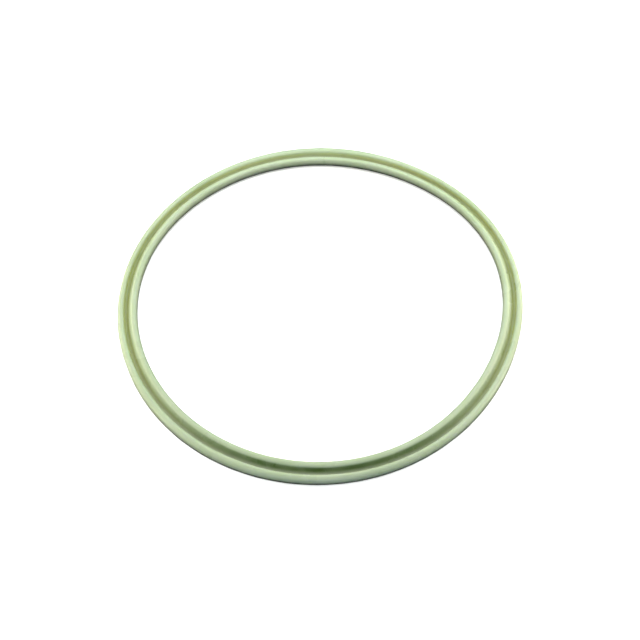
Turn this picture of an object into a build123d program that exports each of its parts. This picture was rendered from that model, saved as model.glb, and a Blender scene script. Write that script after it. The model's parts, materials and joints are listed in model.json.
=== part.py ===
from build123d import *
import os

# Sealing ring of a stovetop pressure cooker: one moulding of soft silicone, lying flat.
# Its section is a low channel, open at the top: an outer lip and an inner lip stand on one
# base, with a moat between them that a bead of the lid presses into.
# Frame: +Z up along the ring's axis, origin at the centre of the face it rests on.
# Millimetres throughout. In the section, x is the distance from the ring's axis.

# Ring
OUTER_DIAMETER = 240.0
BAND_WIDTH = 11.5
BASE_OUTER_ROUND = 2.6
BASE_INNER_ROUND = 3.6

# Outer lip
OUTER_LIP_HEIGHT = 7.6
OUTER_LIP_WIDTH = 3.6
OUTER_LIP_OUTER_ROUND = 2.1
OUTER_LIP_INNER_ROUND = 1.4

# Moat between the lips
MOAT_FLOOR_HEIGHT = 4.0
MOAT_OUTER_DRAFT = 0.2
MOAT_OUTER_FOOT_ROUND = 1.1
MOAT_INNER_DRAFT = 2.8
MOAT_INNER_FOOT_ROUND = 1.2

# Inner lip
INNER_LIP_HEIGHT = 7.4
INNER_LIP_WIDTH = 3.0
INNER_LIP_OUTER_ROUND = 2.2
INNER_LIP_INNER_ROUND = 1.8

outer_radius = OUTER_DIAMETER / 2
inner_radius = outer_radius - BAND_WIDTH


def section_corners():
    """The sharp corners of the section with the radius that rounds each, anticlockwise."""
    outer_moat_wall = outer_radius - OUTER_LIP_WIDTH
    inner_moat_wall = inner_radius + INNER_LIP_WIDTH
    return [
        ((inner_radius, 0), BASE_INNER_ROUND),
        ((outer_radius, 0), BASE_OUTER_ROUND),
        ((outer_radius, OUTER_LIP_HEIGHT), OUTER_LIP_OUTER_ROUND),
        ((outer_moat_wall, OUTER_LIP_HEIGHT), OUTER_LIP_INNER_ROUND),
        ((outer_moat_wall - MOAT_OUTER_DRAFT, MOAT_FLOOR_HEIGHT), MOAT_OUTER_FOOT_ROUND),
        ((inner_moat_wall + MOAT_INNER_DRAFT, MOAT_FLOOR_HEIGHT), MOAT_INNER_FOOT_ROUND),
        ((inner_moat_wall, INNER_LIP_HEIGHT), INNER_LIP_OUTER_ROUND),
        ((inner_radius, INNER_LIP_HEIGHT), INNER_LIP_INNER_ROUND),
    ]


def sealing_ring():
    """The rounded section turned once about the ring's axis."""
    corners = section_corners()
    outline = FilletPolyline(
        *[corner for corner, _ in corners],
        radius=[rounding for _, rounding in corners],
        close=True,
    )
    section = Plane.XZ * make_face(outline)
    ring = revolve(section, axis=Axis.Z)
    ring.label = "sealing_ring"
    return ring


parts = {"sealing_ring": sealing_ring()}

os.makedirs("parts", exist_ok=True)
for name, solid in parts.items():
    export_step(solid, f"parts/{name}.step")
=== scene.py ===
"""Sealing ring of a stovetop pressure cooker: its soft moulded shape, its silicone, and its light tent.

The ring's own sizes are in millimetres until its points are placed, and the studio's are in metres.
"""

import json
import logging
import math
from dataclasses import dataclass
from enum import Enum

import bmesh
import bpy
from mathutils import Matrix, Vector, noise


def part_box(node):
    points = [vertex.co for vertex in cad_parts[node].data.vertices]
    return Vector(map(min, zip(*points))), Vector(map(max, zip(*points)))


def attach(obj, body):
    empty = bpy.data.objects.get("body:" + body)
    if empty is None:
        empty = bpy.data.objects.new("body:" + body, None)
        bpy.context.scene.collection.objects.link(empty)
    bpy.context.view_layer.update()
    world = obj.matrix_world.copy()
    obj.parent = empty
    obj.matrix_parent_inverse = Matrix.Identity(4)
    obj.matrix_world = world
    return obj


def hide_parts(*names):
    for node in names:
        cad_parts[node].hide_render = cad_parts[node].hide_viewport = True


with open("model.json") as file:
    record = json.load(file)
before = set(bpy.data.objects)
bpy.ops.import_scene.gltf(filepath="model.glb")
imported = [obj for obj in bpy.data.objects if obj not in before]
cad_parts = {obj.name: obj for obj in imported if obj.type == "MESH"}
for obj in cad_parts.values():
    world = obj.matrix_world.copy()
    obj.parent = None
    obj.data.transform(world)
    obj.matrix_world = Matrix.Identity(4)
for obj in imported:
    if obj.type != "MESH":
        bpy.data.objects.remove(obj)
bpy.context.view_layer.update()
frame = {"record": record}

LOG = logging.getLogger("sealing_ring")
MM = 0.001
FULL_TURN = 2 * math.pi
# Name of the point attribute that holds the painted light and shade.
PAINTED_LIGHT_ATTRIBUTE = "wear"
BLACK = (0.0, 0.0, 0.0)
WHITE = (1.0, 1.0, 1.0)

Colour = tuple[float, float, float]
Point2 = tuple[float, float]
Point3 = tuple[float, float, float]
Span = tuple[float, float]
Socket = bpy.types.NodeSocket


class PaintedMark(Enum):
    """The painted light and shade on the ring, each with the channel of the painted-light attribute that
    holds it.
    """

    MOAT_STAIN = "Red"
    FOOT_SOIL = "Green"
    POOLED_STAIN = "Blue"


class Join(Enum):
    """The ways in which two values on the shader bench become one."""

    PRODUCT = "MULTIPLY"
    LARGER = "MAXIMUM"


class Tint(Enum):
    """The colours of the soft boxes' gels."""

    CLEAR = WHITE
    SKY = (0.80, 0.96, 1.0)
    SAND = (1.0, 0.97, 0.76)
    SEA = (0.72, 1.0, 0.95)
    MINT = (0.93, 1.0, 0.97)
    SAGE = (0.90, 1.0, 0.94)


def ease(value: float, low: float, high: float) -> float:
    """A soft step from 0 at low to 1 at high; low may be the larger of the two."""
    share = min(1.0, max(0.0, (value - low) / (high - low)))
    return share * share * (3 - 2 * share)


@dataclass(frozen=True)
class Corner:
    """One sharp corner of the section, in millimetres, and the arc that rounds it.

    Args:
        radius: distance from the ring's axis.
        height: height above the face that the ring rests on.
        rounding: radius of the arc in the corner.
    """

    radius: float
    height: float
    rounding: float

    def spot(self) -> Vector:
        """The corner as a point of the section's plane."""
        return Vector((self.radius, self.height))


@dataclass(frozen=True)
class SectionPoint:
    """A point of the finished outline, in millimetres.

    Args:
        radius: distance from the ring's axis.
        height: height above the face that the ring rests on.
    """

    radius: float
    height: float


@dataclass
class RingSection:
    """The ring's section: two lips on one base, with the moat between them. Millimetres.

    Args:
        outer_radius: from the axis to the outer wall.
        inner_radius: from the axis to the inner wall.
        outer_lip_height: the ring's full height.
        moat_outer_draft: how far the moat's outer wall leans inwards on its way down.
        moat_inner_draft: how far the moat's inner slope leans outwards on its way down.
        inner_lip_drop: how much lower the inner lip is than the outer one.
        arc_steps: steps in each rounded corner.
        longest_step: the longest step along a straight stretch.
    """

    outer_radius: float
    inner_radius: float
    outer_lip_height: float
    base_outer_round: float = 2.6
    base_inner_round: float = 3.6
    outer_lip_width: float = 3.6
    outer_lip_outer_round: float = 2.1
    outer_lip_inner_round: float = 1.4
    moat_floor_height: float = 4.0
    moat_outer_draft: float = 0.2
    moat_outer_foot_round: float = 1.1
    moat_inner_draft: float = 2.8
    moat_inner_foot_round: float = 1.2
    inner_lip_drop: float = 0.2
    inner_lip_width: float = 3.0
    inner_lip_outer_round: float = 2.2
    inner_lip_inner_round: float = 1.8
    arc_steps: int = 7
    longest_step: float = 0.5

    def inner_lip_height(self) -> float:
        """Height of the inner lip's top."""
        return self.outer_lip_height - self.inner_lip_drop

    def outer_lip_edge(self) -> float:
        """Distance from the axis to the moat's outer wall, at its top."""
        return self.outer_radius - self.outer_lip_width

    def inner_lip_edge(self) -> float:
        """Distance from the axis to the moat's inner slope, at its top."""
        return self.inner_radius + self.inner_lip_width

    def moat_outer_foot(self) -> float:
        """Distance from the axis to the moat's outer wall, at the floor."""
        return self.outer_lip_edge() - self.moat_outer_draft

    def moat_inner_foot(self) -> float:
        """Distance from the axis to the moat's inner slope, at the floor."""
        return self.inner_lip_edge() + self.moat_inner_draft

    def corners(self) -> list[Corner]:
        """The sharp corners of the section, anticlockwise from the base's inner edge.

        Returns:
            The corners in order, each with its rounding.
        """
        return [
            Corner(self.inner_radius, 0, self.base_inner_round),
            Corner(self.outer_radius, 0, self.base_outer_round),
            Corner(self.outer_radius, self.outer_lip_height, self.outer_lip_outer_round),
            Corner(self.outer_lip_edge(), self.outer_lip_height, self.outer_lip_inner_round),
            Corner(self.moat_outer_foot(), self.moat_floor_height, self.moat_outer_foot_round),
            Corner(self.moat_inner_foot(), self.moat_floor_height, self.moat_inner_foot_round),
            Corner(self.inner_lip_edge(), self.inner_lip_height(), self.inner_lip_outer_round),
            Corner(self.inner_radius, self.inner_lip_height(), self.inner_lip_inner_round),
        ]

    def arc(self, before: Corner, corner: Corner, after: Corner) -> list[Vector]:
        """The arc that rounds one corner.

        Args:
            before: the corner before it.
            corner: the corner to round.
            after: the corner after it.

        Returns:
            Points of the arc in order, in millimetres.
        """
        at = corner.spot()
        back = (before.spot() - at).normalized()
        ahead = (after.spot() - at).normalized()
        half = back.angle(ahead) / 2
        centre = at + (back + ahead).normalized() * (corner.rounding / math.sin(half))
        reach = corner.rounding / math.tan(half)
        start = at + back * reach - centre
        end = at + ahead * reach - centre
        sweep = start.angle_signed(end)
        turns = [-sweep * step / self.arc_steps for step in range(self.arc_steps + 1)]
        return [centre + Matrix.Rotation(turn, 2) @ start for turn in turns]

    def outline(self) -> list[SectionPoint]:
        """The closed outline, rounded, with no step longer than the longest one allowed.

        Returns:
            Points of the outline, anticlockwise, in millimetres.
        """
        corners = self.corners()
        count = len(corners)
        arcs = [self.arc(corners[i - 1], corners[i], corners[(i + 1) % count]) for i in range(count)]
        spots: list[Vector] = []
        for i, arc in enumerate(arcs):
            spots += arc
            start, end = arc[-1], arcs[(i + 1) % count][0]
            steps = max(1, math.ceil((end - start).length / self.longest_step))
            spots += [start.lerp(end, step / steps) for step in range(1, steps)]
        return [SectionPoint(radius, height) for radius, height in spots]


@dataclass(frozen=True)
class PaintedLightPattern:
    """Where light and shade are painted on the ring. Sizes are in millimetres, and directions in degrees
    from +X.

    A span says where a mark starts to show, then where it is at its full strength.

    Args:
        bounce_below_lip: how far below the outer lip's top the moat's painted bounce light starts.
        bounce_above_floor: how far above the moat's floor it is full.
        bounce_inboard: how far inboard of the moat's outer foot its middle lies.
        bounce_half_width: its span on both sides of that middle.
        bounce_least: its strength where it is weakest round the ring.
        slope_shade_below_lip: span of the painted shade's depth below the inner lip's top.
        slope_shade_past_foot: its span outwards from the moat's inner foot.
        slope_shade_turn: the direction that the painted shade is strongest in, on the side that faces the
            camera.
        slope_shade_sharpness: how quickly it fades on both sides of that direction.
        inner_foot_shade: span of the painted shade's height on the inner wall.
        outer_foot_shade: span of the painted shade's height on the outer wall.
    """

    bounce_below_lip: float = 0.9
    bounce_above_floor: float = 0.6
    bounce_inboard: float = 0.8
    bounce_half_width: Span = (2.8, 0.9)
    bounce_least: float = 0.35
    slope_shade_below_lip: Span = (0.1, 1.2)
    slope_shade_past_foot: Span = (0.5, -1.0)
    slope_shade_turn: float = -90.0
    slope_shade_sharpness: float = 2.5
    inner_foot_shade: Span = (5.4, 1.9)
    outer_foot_shade: Span = (5.2, 2.4)

    def moat_bounce_light(self, section: RingSection, point: SectionPoint) -> float:
        """How much painted bounce light a point gets along the outer foot of the moat: a yellow-olive tint
        for light scattered and reflected inside the moat.

        Args:
            section: the ring's section.
            point: a point of it.

        Returns:
            0 on the lips, up to 1 on the moat's floor.
        """
        full = section.moat_floor_height + self.bounce_above_floor
        deep = ease(point.height, section.outer_lip_height - self.bounce_below_lip, full)
        off_middle = abs(point.radius - section.moat_outer_foot() + self.bounce_inboard)
        return deep * ease(off_middle, *self.bounce_half_width)

    def slope_shade(self, section: RingSection, point: SectionPoint) -> float:
        """How much painted shade darkens a point on the moat's inner slope, where it faces the camera and
        lies in shade.

        Args:
            section: the ring's section.
            point: a point of it.

        Returns:
            0 on the lips and outboard of the slope, up to 1 on the slope.
        """
        if point.radius < section.inner_radius + section.inner_lip_width / 2:
            return 0.0
        start, full = (section.inner_lip_height() - below for below in self.slope_shade_below_lip)
        outboard = point.radius - section.moat_inner_foot()
        return ease(point.height, start, full) * ease(outboard, *self.slope_shade_past_foot)

    def foot_shade(self, section: RingSection, point: SectionPoint) -> float:
        """How much painted shade a point gets near the base, standing for the contact shadow: 0 high up
        the walls, 1 where the ring rests.
        """
        inboard = point.radius < (section.outer_radius + section.inner_radius) / 2
        return ease(point.height, *(self.inner_foot_shade if inboard else self.outer_foot_shade))

    def slope_shade_round(self, turn: float) -> float:
        """How strong the slope's painted shade is in a direction, given in radians from +X: from 0 to 1.
        """
        apart = turn - math.radians(self.slope_shade_turn)
        return max(0.0, math.cos(apart)) ** self.slope_shade_sharpness

    def bounce_light_round(self, turn: float) -> float:
        """How strong the moat's painted bounce light is in a direction: most at the sides, none where the
        inner slope is painted in shade.
        """
        sideways = abs(math.sin(turn - math.radians(self.slope_shade_turn)))
        return (1 - self.slope_shade_round(turn)) * (self.bounce_least + (1 - self.bounce_least) * sideways)

    def marks(self, section: RingSection, outline: list[SectionPoint], segments: int) -> list[float]:
        """The painted light and shade of every point of the ring, loop by loop.

        Args:
            section: the ring's section.
            outline: the points of one loop.
            segments: loops in the full turn.

        Returns:
            Four numbers a point: the moat's painted bounce light, the foot's painted shade, the inner
                slope's painted shade, and 1.
        """
        bounces = [self.moat_bounce_light(section, point) for point in outline]
        foot_shades = [self.foot_shade(section, point) for point in outline]
        slope_shades = [self.slope_shade(section, point) for point in outline]
        numbers: list[float] = []
        for step in range(segments):
            turn = FULL_TURN * step / segments
            bounce_lit, slope_shaded = self.bounce_light_round(turn), self.slope_shade_round(turn)
            for i in range(len(outline)):
                numbers += [bounces[i] * bounce_lit, foot_shades[i], slope_shades[i] * slope_shaded, 1.0]
        return numbers


@dataclass(frozen=True)
class Lobe:
    """One way in which the relaxed ring is out of round.

    Args:
        count: lobes in a full turn.
        depth: how far a lobe stands out, in millimetres.
        turn: direction of the first lobe, in degrees from +X.
    """

    count: int
    depth: float
    turn: float

    def push(self, turn: float) -> float:
        """How far the ring stands out in a direction, given in radians from +X; in millimetres."""
        return self.depth * math.cos(self.count * (turn - math.radians(self.turn)))


@dataclass(frozen=True)
class Nick:
    """A tiny scar left by the mould or by a knife tip.

    Args:
        turn: direction from +X, in degrees.
        inboard: distance from the outer wall, in millimetres.
        length: size across the band, in millimetres.
        width: size along the band, in millimetres.
        depth: how deep it goes, in millimetres; below zero it stands proud.
    """

    turn: float
    inboard: float
    length: float
    width: float
    depth: float

    def cut(self, turn: float, radius: float, inboard: float) -> float:
        """How deep the scar is at a point.

        Args:
            turn: the point's direction from +X, in radians.
            radius: its distance from the axis, in millimetres.
            inboard: its distance from the outer wall, in millimetres.

        Returns:
            The depth, in millimetres; it fades away like a bell.
        """
        apart = (turn - math.radians(self.turn) + math.pi) % FULL_TURN - math.pi
        along = apart * radius / (self.width / 2)
        across = (inboard - self.inboard) / (self.length / 2)
        return self.depth * math.exp(-(along * along + across * across))


@dataclass
class SealingRing:
    """The moulded ring, swept round its axis and let go slightly out of round.

    Args:
        section: the ring's section.
        wear: the light and shade painted on it.
        segments: loops in the full turn.
        lobes: how the whole section sways in and out.
        inner_lobes: how the moat and the inner lip sway beyond that.
        sway_from: how far in from the outer wall the inner sway starts, in millimetres.
        sway_past: how far past the outer lip it is full, in millimetres.
        nicks: the scars on the open top.
        nicks_below_floor: how far below the moat's floor the scars still reach, in millimetres.
        waviness: how uneven the moulding is, in millimetres.
        wave_length: the length of the waves that sink its top, in millimetres.
        side_wave_rate: how many times shorter the waves are that push it sideways.
        side_wave_shift: keeps those apart from the waves that sink the top.
        name: the piece's name.
    """

    section: RingSection
    wear: PaintedLightPattern = PaintedLightPattern()
    segments: int = 840
    lobes: tuple[Lobe, ...] = (
        Lobe(2, -0.29, 0),
        Lobe(3, 0.55, 16.5),
        Lobe(4, 0.35, 12.7),
        Lobe(5, 0.16, 16),
    )
    inner_lobes: tuple[Lobe, ...] = (
        Lobe(1, 0.20, 57),
        Lobe(2, 0.32, -16),
        Lobe(3, 0.42, 34.6),
    )
    sway_from: float = 0.4
    sway_past: float = 0.6
    nicks: tuple[Nick, ...] = (
        Nick(149, 7.5, 2.2, 1.0, 0.22),
        Nick(45, 3.5, 2.0, 1.0, -0.20),
        Nick(18, 3.4, 2.4, 1.1, 0.25),
        Nick(355, 5.5, 1.8, 1.0, -0.20),
        Nick(233, 2.5, 2.0, 1.0, 0.20),
        Nick(260, 7.8, 2.4, 1.0, 0.25),
        Nick(284, 4.0, 2.0, 1.0, -0.18),
        Nick(204, 10.8, 1.6, 1.0, 0.20),
        Nick(96, 2.0, 1.8, 0.9, 0.15),
        Nick(318, 9.5, 1.8, 1.0, 0.18),
    )
    nicks_below_floor: float = 0.1
    waviness: float = 0.05
    wave_length: float = 9.0
    side_wave_rate: float = 2.0
    side_wave_shift: Point3 = (7, 3, 1)
    name: str = "silicone_ring"

    def slack(self, turn: float, inward: float) -> float:
        """How far a point of the section stands out in one direction.

        Args:
            turn: direction from +X, in radians.
            inward: 0 on the outer wall, rising across the outer lip to 1 in the moat and on the inner lip.

        Returns:
            The distance outwards, in millimetres.
        """
        whole = sum(lobe.push(turn) for lobe in self.lobes)
        inner = sum(lobe.push(turn) for lobe in self.inner_lobes)
        return whole + inward * inner

    def scar(self, turn: float, point: SectionPoint) -> float:
        """How deep the nicks cut at a point; only the open top of the ring has them.

        Args:
            turn: direction from +X, in radians.
            point: a point of the section.

        Returns:
            The depth, in millimetres.
        """
        if point.height < self.section.moat_floor_height - self.nicks_below_floor:
            return 0.0
        inboard = self.section.outer_radius - point.radius
        return sum(nick.cut(turn, point.radius, inboard) for nick in self.nicks)

    def place(self, turn: float, point: SectionPoint) -> Point3:
        """Where a point of the section lies in one direction.

        Args:
            turn: direction from +X, in radians.
            point: a point of the section.

        Returns:
            Its place, in metres.
        """
        section = self.section
        starts = section.outer_radius - self.sway_from
        inward = ease(point.radius, starts, section.outer_lip_edge() - self.sway_past)
        radius = point.radius + self.slack(turn, inward)
        spot = Vector((radius * math.cos(turn), radius * math.sin(turn), point.height)) / self.wave_length
        raised = point.height / section.outer_lip_height
        sink = abs(noise.noise(spot)) * self.waviness * raised + self.scar(turn, point) * raised
        radius += noise.noise(spot * self.side_wave_rate + Vector(self.side_wave_shift)) * self.waviness
        height = min(point.height - sink, section.outer_lip_height)
        return (radius * math.cos(turn) * MM, radius * math.sin(turn) * MM, height * MM)

    def sweep(self, outline: list[SectionPoint]) -> bpy.types.Mesh:
        """Sweep the outline once round the axis.

        Args:
            outline: the points of the section.

        Returns:
            The closed skin, smooth shaded, with its points in order loop by loop.
        """
        shape = bmesh.new()
        loops = []
        for step in range(self.segments):
            turn = FULL_TURN * step / self.segments
            loops.append([shape.verts.new(self.place(turn, point)) for point in outline])
        for step, here in enumerate(loops):
            there = loops[(step + 1) % self.segments]
            for i in range(len(outline)):
                j = (i + 1) % len(outline)
                shape.faces.new((here[i], there[i], there[j], here[j])).smooth = True
        bmesh.ops.recalc_face_normals(shape, faces=shape.faces[:])
        mesh = bpy.data.meshes.new(self.name)
        shape.to_mesh(mesh)
        shape.free()
        return mesh

    def build(self) -> bpy.types.Object:
        """Make the ring, and note on every point how much light and shade is painted on it.

        Returns:
            The ring as a new object, riding on the root body.
        """
        outline = self.section.outline()
        mesh = self.sweep(outline)
        # Every point carries its painted bounce light in the moat and its painted shade at the foot and on
        # the inner slope.
        wear = mesh.attributes.new(PAINTED_LIGHT_ATTRIBUTE, "FLOAT_COLOR", "POINT")
        wear.data.foreach_set("color", self.wear.marks(self.section, outline, self.segments))
        ring = bpy.data.objects.new(self.name, mesh)
        bpy.context.scene.collection.objects.link(ring)
        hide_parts("sealing_ring")
        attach(ring, "root")
        return ring


@dataclass(frozen=True)
class Mottle:
    """An uneven look: a noise whose middle stretch is spread over the values that it gives.

    Args:
        scale: how fine it is, in waves per metre.
        detail: how many finer layers it has.
        stretch: the part of the noise, which lies round one half, that is spread out.
        values: what that part becomes; outside it they are held.
    """

    scale: float
    detail: float
    stretch: Span
    values: Span


@dataclass(frozen=True)
class Grain:
    """A fine relief of the skin.

    Args:
        scale: how fine it is, in waves per metre.
        detail: how many finer layers it has.
        strength: how strongly it shows, from 0 to 1.
        depth: how deep it is, in metres.
    """

    scale: float
    detail: float
    strength: float
    depth: float


@dataclass
class ShaderBench:
    """Adds nodes to one material and wires them."""

    material: bpy.types.Material

    def node(self, kind: str, **settings: object) -> bpy.types.ShaderNode:
        """A new node with some of its settings changed.

        Args:
            kind: the node's type.
            settings: names of settings, with their new values.

        Returns:
            The node.
        """
        node = self.material.node_tree.nodes.new(kind)
        for name, value in settings.items():
            setattr(node, name, value)
        return node

    def feed(self, source: object, target: Socket) -> None:
        """Wire a socket to another, or set a plain number or colour on it.

        Args:
            source: a socket, a number, or a colour with its alpha.
            target: the socket that takes it.
        """
        if isinstance(source, Socket):
            self.material.node_tree.links.new(source, target)
        else:
            target.default_value = source

    def wear(self) -> dict[PaintedMark, Socket]:
        """Read the painted light and shade that the ring's points carry.

        Returns:
            The amount of each painted mark, from 0 to 1.
        """
        stored = self.node("ShaderNodeAttribute", attribute_name=PAINTED_LIGHT_ATTRIBUTE)
        channels = self.node("ShaderNodeSeparateColor")
        self.feed(stored.outputs["Color"], channels.inputs["Color"])
        return {mark: channels.outputs[mark.value] for mark in PaintedMark}

    def noise(self, place: Socket, scale: float, detail: float) -> Socket:
        """A noise value round one half.

        Args:
            place: the coordinates to read it at.
            scale: how fine it is, in waves per metre.
            detail: how many finer layers it has.

        Returns:
            The value's socket.
        """
        node = self.node("ShaderNodeTexNoise")
        self.feed(place, node.inputs["Vector"])
        self.feed(scale, node.inputs["Scale"])
        self.feed(detail, node.inputs["Detail"])
        return node.outputs["Fac"]

    def spread(self, value: Socket, source: Span, target: Span) -> Socket:
        """A value carried from one range to another, and held at its ends.

        Args:
            value: the value's socket.
            source: the range it comes from.
            target: the range it goes to.

        Returns:
            The new value's socket.
        """
        node = self.node("ShaderNodeMapRange")
        self.feed(value, node.inputs["Value"])
        for name, number in zip(("From Min", "From Max", "To Min", "To Max"), (*source, *target)):
            self.feed(number, node.inputs[name])
        return node.outputs["Result"]

    def mottle(self, place: Socket, look: Mottle) -> Socket:
        """The values of an uneven look, read at some coordinates."""
        return self.spread(self.noise(place, look.scale, look.detail), look.stretch, look.values)

    def join(self, how: Join, first: Socket, second: Socket) -> Socket:
        """One value made of two.

        Args:
            how: what is done with them.
            first: a value's socket.
            second: a value's socket.

        Returns:
            The new value's socket.
        """
        node = self.node("ShaderNodeMath", operation=how.value)
        self.feed(first, node.inputs[0])
        self.feed(second, node.inputs[1])
        return node.outputs[0]

    def mix(self, share: Socket, first: Colour | Socket, second: Colour) -> Socket:
        """A colour between two others.

        Args:
            share: how much of the second colour.
            first: a colour or its socket.
            second: a colour.

        Returns:
            The mixed colour's socket.
        """
        node = self.node("ShaderNodeMix", data_type="RGBA")
        self.feed(share, node.inputs["Factor"])
        colours = {socket.name: socket for socket in node.inputs if socket.type == "RGBA"}
        self.feed((*first, 1) if isinstance(first, tuple) else first, colours["A"])
        self.feed((*second, 1), colours["B"])
        return next(socket for socket in node.outputs if socket.type == "RGBA")

    def bump(self, place: Socket, grain: Grain) -> bpy.types.ShaderNode:
        """A relief of the skin.

        Args:
            place: the coordinates to read it at.
            grain: how fine and how deep it is.

        Returns:
            The bump node, so that another relief can be laid below it.
        """
        node = self.node("ShaderNodeBump")
        self.feed(grain.strength, node.inputs["Strength"])
        self.feed(grain.depth, node.inputs["Distance"])
        self.feed(self.noise(place, grain.scale, grain.detail), node.inputs["Height"])
        return node


@dataclass(frozen=True)
class SiliconeFinish:
    """Pale green translucent silicone, with painted bounce light in the moat and painted shade on the
    moat's inner slope and at the foot.

    Args:
        patches: how far the body's colour has faded.
        painted_light_patches: how unevenly the painted bounce light and slope shade in the moat lie.
        foot_shade_patches: how unevenly the painted shade at the foot lies.
        specks: how much dust there is.
        satin: the silicone's own roughness.
        foot_shade_roughness: the roughness where the foot is painted in shade.
        index: the silicone's refractive index.
        scatter_share: how much of the light goes below the skin.
        scatter_reach: how far it goes there, in metres.
        scatter_tint: how far red, green and blue go, compared with that.
        peel: the soft orange peel of the skin.
        grain: the mould's fine grain on it.
    """

    body: Colour = (0.50, 0.575, 0.40)
    faded: Colour = (0.56, 0.62, 0.47)
    # Painted bounce light: a yellow-olive tint for light scattered and reflected in the moat.
    moat_bounce_light: Colour = (0.64, 0.65, 0.26)
    # Painted shade on the moat's inner slope, on the side that faces the camera.
    slope_shade: Colour = (0.08, 0.14, 0.03)
    # Painted shade: near black at the foot, for the contact shadow where the ring rests on the floor.
    foot_shade: Colour = (0.006, 0.007, 0.005)
    dust: Colour = (0.80, 0.82, 0.76)
    patches: Mottle = Mottle(28, 3, (0.35, 0.65), (0, 1))
    painted_light_patches: Mottle = Mottle(60, 4, (0.3, 0.7), (0.75, 1))
    foot_shade_patches: Mottle = Mottle(140, 4, (0.3, 0.7), (0.8, 1))
    specks: Mottle = Mottle(1500, 1, (0.77, 0.83), (0, 0.5))
    satin: Mottle = Mottle(90, 4, (0.3, 0.7), (0.24, 0.36))
    foot_shade_roughness: float = 0.85
    index: float = 1.41
    scatter_share: float = 0.5
    scatter_reach: float = 2.0 * MM
    scatter_tint: Colour = (1.0, 1.1, 0.6)
    peel: Grain = Grain(420, 3, 0.10, 0.3 * MM)
    grain: Grain = Grain(3200, 2, 0.12, 0.05 * MM)

    def colour(self, bench: ShaderBench, place: Socket, wear: dict[PaintedMark, Socket]) -> Socket:
        """The colour: faded in patches, with painted bounce light in the moat and painted shade on its
        inner slope and at the foot, dusted with specks.

        Args:
            bench: where the nodes go.
            place: the object's own coordinates.
            wear: the amount of each painted mark.

        Returns:
            The colour's socket.
        """
        uneven = bench.mottle(place, self.painted_light_patches)
        foot_shade_uneven = bench.mottle(place, self.foot_shade_patches)
        bounce_lit = bench.join(Join.PRODUCT, wear[PaintedMark.MOAT_STAIN], uneven)
        slope_shaded = bench.join(Join.PRODUCT, wear[PaintedMark.POOLED_STAIN], uneven)
        foot_shaded = bench.join(Join.PRODUCT, wear[PaintedMark.FOOT_SOIL], foot_shade_uneven)
        colour = bench.mix(bench.mottle(place, self.patches), self.body, self.faded)
        # Painted bounce light in the moat.
        colour = bench.mix(bounce_lit, colour, self.moat_bounce_light)
        # Painted shade on the moat's inner slope.
        colour = bench.mix(slope_shaded, colour, self.slope_shade)
        # Painted shade at the foot, for the contact shadow.
        colour = bench.mix(foot_shaded, colour, self.foot_shade)
        return bench.mix(bench.mottle(place, self.specks), colour, self.dust)

    def dullness(self, bench: ShaderBench, place: Socket, wear: dict[PaintedMark, Socket]) -> Socket:
        """The roughness: satin over the skin, duller where the foot is painted in shade."""
        foot_shaded = bench.spread(wear[PaintedMark.FOOT_SOIL], (0, 1), (0, self.foot_shade_roughness))
        return bench.join(Join.LARGER, bench.mottle(place, self.satin), foot_shaded)

    def relief(self, bench: ShaderBench, place: Socket) -> Socket:
        """The skin: a soft orange peel with the mould's fine grain on it.

        Args:
            bench: where the nodes go.
            place: the object's own coordinates.

        Returns:
            The normal's socket.
        """
        peel = bench.bump(place, self.peel)
        grain = bench.bump(place, self.grain)
        bench.feed(peel.outputs["Normal"], grain.inputs["Normal"])
        return grain.outputs["Normal"]

    def build(self) -> bpy.types.Material:
        """Make the material.

        Returns:
            The silicone, ready to assign.
        """
        material = bpy.data.materials.new("pale_green_silicone")
        material.use_nodes = True
        bench = ShaderBench(material)
        place = bench.node("ShaderNodeTexCoord").outputs["Object"]
        wear = bench.wear()
        shader = material.node_tree.nodes["Principled BSDF"]
        bench.feed(self.colour(bench, place, wear), shader.inputs["Base Color"])
        bench.feed(self.dullness(bench, place, wear), shader.inputs["Roughness"])
        bench.feed(self.relief(bench, place), shader.inputs["Normal"])
        bench.feed(self.index, shader.inputs["IOR"])
        bench.feed(self.scatter_share, shader.inputs["Subsurface Weight"])
        bench.feed(self.scatter_tint, shader.inputs["Subsurface Radius"])
        bench.feed(self.scatter_reach, shader.inputs["Subsurface Scale"])
        return material


@dataclass(frozen=True)
class PaperFinish:
    """The studio's plain paper.

    Args:
        name: the material's name.
        colour: what it shows by the light that falls on it.
        glow: how brightly it shines white by itself.
    """

    name: str
    colour: Colour
    glow: float = 0.0

    def build(self) -> bpy.types.Material:
        """Make the material.

        Returns:
            The paper, ready to assign.
        """
        material = bpy.data.materials.new(self.name)
        material.use_nodes = True
        shader = material.node_tree.nodes["Principled BSDF"]
        shader.inputs["Base Color"].default_value = (*self.colour, 1)
        shader.inputs["Emission Color"].default_value = (*WHITE, 1)
        shader.inputs["Emission Strength"].default_value = self.glow
        return material


@dataclass(frozen=True)
class SoftBox:
    """A soft light that the camera doesn't see.

    Args:
        name: the lamp's name.
        place: where it hangs, in metres.
        aim: the point that it faces, in metres.
        size: its width and height, in metres.
        power: its power, in watts.
        tint: its colour.
    """

    name: str
    place: Point3
    aim: Point3
    size: Point2
    power: float
    tint: Tint = Tint.CLEAR

    def build(self) -> bpy.types.Object:
        """Hang the light.

        Returns:
            The lamp.
        """
        light = bpy.data.lights.new(self.name, "AREA")
        light.shape = "RECTANGLE"
        light.size, light.size_y = self.size
        light.energy = self.power
        light.color = self.tint.value
        lamp = bpy.data.objects.new(self.name, light)
        lamp.location = self.place
        lamp.rotation_euler = (Vector(self.aim) - lamp.location).to_track_quat("-Z", "Y").to_euler()
        lamp.visible_camera = False
        bpy.context.scene.collection.objects.link(lamp)
        return lamp


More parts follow.
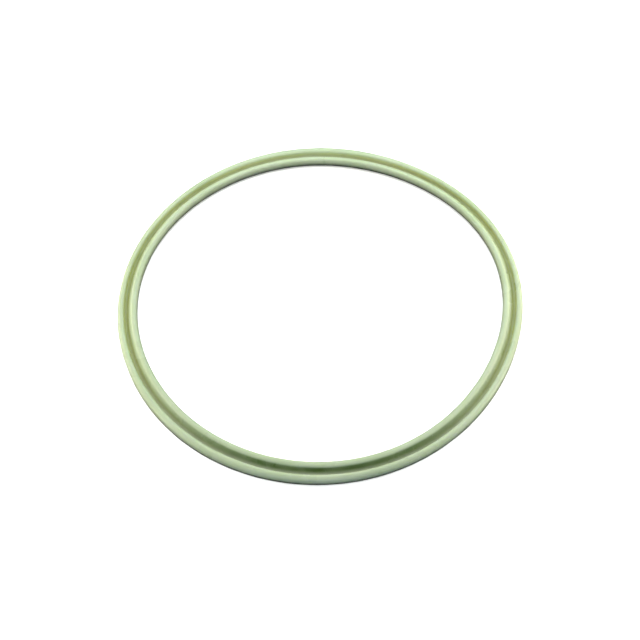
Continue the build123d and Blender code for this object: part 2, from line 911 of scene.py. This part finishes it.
@dataclass
class Studio:
    """A small light tent: pale paper below and round about, and soft boxes on every side of the ring.

    Args:
        floor_half_width: half the side of the square floor, in metres.
        floor_paper: what the floor is covered with.
        wall_radius: from the middle of the floor to the wall, in metres.
        wall_height: the wall's height, in metres.
        wall_sides: flat panels in the wall.
        wall_paper: what the wall is covered with.
        air: colour of the little light that comes from everywhere.
        air_strength: how strong that light is.
        boxes: the lights on the ring.
        wash: the light on the floor alone.
    """

    floor_half_width: float = 3.0
    floor_paper: PaperFinish = PaperFinish("floor_paper", (0.9, 0.9, 0.9))
    wall_radius: float = 2.9
    wall_height: float = 4.0
    wall_sides: int = 64
    wall_paper: PaperFinish = PaperFinish("lit_paper", BLACK, 1.0)
    air: Colour = (0.85, 0.95, 1.0)
    air_strength: float = 0.03
    boxes: tuple[SoftBox, ...] = (
        SoftBox("back_box", (0.06, 0.36, 0.36), (0, 0, 0), (0.34, 0.10), 0.85, Tint.SEA),
        SoftBox("top_box", (0, 0.18, 0.48), (0, 0.1, 0), (0.60, 0.24), 1.1, Tint.MINT),
        SoftBox("left_low_box", (-0.36, 0.08, 0.11), (0, 0.08, 0.05), (0.50, 0.20), 1.2, Tint.SAND),
        SoftBox("right_low_box", (0.36, 0.08, 0.11), (0, 0.08, 0.05), (0.50, 0.20), 1.2, Tint.SAND),
        SoftBox("left_high_box", (-0.36, 0.08, 0.36), (0, 0.05, 0), (0.50, 0.24), 0.4, Tint.SAND),
        SoftBox("right_high_box", (0.36, 0.08, 0.36), (0, 0.05, 0), (0.50, 0.24), 0.4, Tint.SAND),
        SoftBox("front_high_box", (0, -0.40, 0.50), (0, 0.10, 0), (0.50, 0.20), 0.5, Tint.SAGE),
        SoftBox("front_low_box", (0, -1.1, 0.26), (0, 0, 0), (1.2, 0.2), 4.6, Tint.SKY),
    )
    wash: SoftBox = SoftBox("floor_wash", (0, 0, 2.4), (0, 0, 0), (6.0, 6.0), 300)

    def hang(self, name: str, shape: bmesh.types.BMesh, paper: PaperFinish) -> bpy.types.Object:
        """Turn a sheet of the studio into an object that throws no light back at the ring.

        Args:
            name: the object's name.
            shape: the sheet, which is used up.
            paper: what it is covered with.

        Returns:
            The sheet as a new object.
        """
        mesh = bpy.data.meshes.new(name)
        shape.to_mesh(mesh)
        shape.free()
        mesh.materials.append(paper.build())
        sheet = bpy.data.objects.new(name, mesh)
        bpy.context.scene.collection.objects.link(sheet)
        sheet.visible_diffuse = False
        sheet.visible_glossy = False
        sheet.visible_transmission = False
        return sheet

    def build_floor(self) -> bpy.types.Object:
        """Lay the square floor at the height that the ring rests at.

        Returns:
            The floor.
        """
        shape = bmesh.new()
        half = self.floor_half_width
        edges = ((-half, -half), (half, -half), (half, half), (-half, half))
        shape.faces.new([shape.verts.new((x, y, 0)) for x, y in edges])
        floor = self.hang("floor", shape, self.floor_paper)
        return floor

    def build_wall(self) -> bpy.types.Object:
        """Stand the round wall about the middle of the floor; only the camera sees it.

        Returns:
            The wall.
        """
        shape = bmesh.new()
        radius = self.wall_radius
        turns = [FULL_TURN * side / self.wall_sides for side in range(self.wall_sides)]
        spots = [(radius * math.cos(turn), radius * math.sin(turn)) for turn in turns]
        low = [shape.verts.new((x, y, 0)) for x, y in spots]
        high = [shape.verts.new((x, y, self.wall_height)) for x, y in spots]
        for side in range(self.wall_sides):
            after = (side + 1) % self.wall_sides
            shape.faces.new((low[side], low[after], high[after], high[side]))
        wall = self.hang("wall", shape, self.wall_paper)
        wall.visible_shadow = False
        return wall

    def build_lights(self, floor: bpy.types.Object) -> None:
        """Hang the soft boxes, light the floor by a wash of its own, and set the air.

        Args:
            floor: the only thing that the wash lights.
        """
        world = bpy.data.worlds.new("studio_air")
        world.use_nodes = True
        sky = world.node_tree.nodes["Background"]
        sky.inputs["Color"].default_value = (*self.air, 1)
        sky.inputs["Strength"].default_value = self.air_strength
        bpy.context.scene.world = world
        for box in self.boxes:
            box.build()
        lit = bpy.data.collections.new("floor_only")
        lit.objects.link(floor)
        self.wash.build().light_linking.receiver_collection = lit


@dataclass
class ViewCamera:
    """The camera, looking down at the ring from the front.

    Args:
        elevation: how steeply it looks down, in degrees.
        tilt: how far it is rolled, in degrees.
        distance: from the point that it aims at, in metres.
        aim: that point, in millimetres.
        lens: its focal length, in millimetres.
        sensor_width: the width of its sensor, in millimetres.
        clip: the nearest and the farthest that it sees, in metres.
    """

    elevation: float = 55.65
    tilt: float = 2.91
    distance: float = 0.55
    aim: Point3 = (-0.08, -14.25, -0.4)
    lens: float = 52.3125
    sensor_width: float = 36.0
    clip: Span = (0.01, 50)

    def build(self) -> bpy.types.Object:
        """Place the camera and make it the scene's own.

        Returns:
            The camera.
        """
        rise, tilt = math.radians(self.elevation), math.radians(self.tilt)
        back = Vector((0, -math.cos(rise), math.sin(rise)))
        right = Vector((1, 0, 0))
        up = back.cross(right)
        tilted_right = right * math.cos(tilt) - up * math.sin(tilt)
        tilted_up = right * math.sin(tilt) + up * math.cos(tilt)
        turn = Matrix((tilted_right, tilted_up, back)).transposed().to_4x4()
        data = bpy.data.cameras.new("view_camera")
        data.sensor_width = self.sensor_width
        data.lens = self.lens
        data.clip_start, data.clip_end = self.clip
        camera = bpy.data.objects.new("view_camera", data)
        camera.matrix_world = Matrix.Translation(Vector(self.aim) * MM + back * self.distance) @ turn
        bpy.context.scene.collection.objects.link(camera)
        bpy.context.scene.camera = camera
        return camera


def mount_radius(name: str) -> float:
    """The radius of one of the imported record's round mounts, in millimetres."""
    return next(mount for mount in frame["record"]["mounts"] if mount["name"] == name)["dims"]["r_mm"]


def main() -> None:
    """Build the ring, dress it, and set the studio and the camera."""
    logging.basicConfig(level=logging.INFO, format="%(name)s: %(message)s")
    bpy.context.scene.view_settings.view_transform = "Standard"
    ViewCamera().build()
    _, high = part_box("sealing_ring")
    section = RingSection(
        outer_radius=mount_radius("outer_wall"),
        inner_radius=mount_radius("inner_wall"),
        outer_lip_height=high[2] / MM,
    )
    ring = SealingRing(section).build()
    ring.data.materials.append(SiliconeFinish().build())
    LOG.info("%s: %d faces", ring.name, len(ring.data.polygons))
    studio = Studio()
    floor = studio.build_floor()
    studio.build_lights(floor)
    wall = studio.build_wall()
    LOG.info("%s, %s: stage", floor.name, wall.name)


if __name__ == "__main__":
    main()
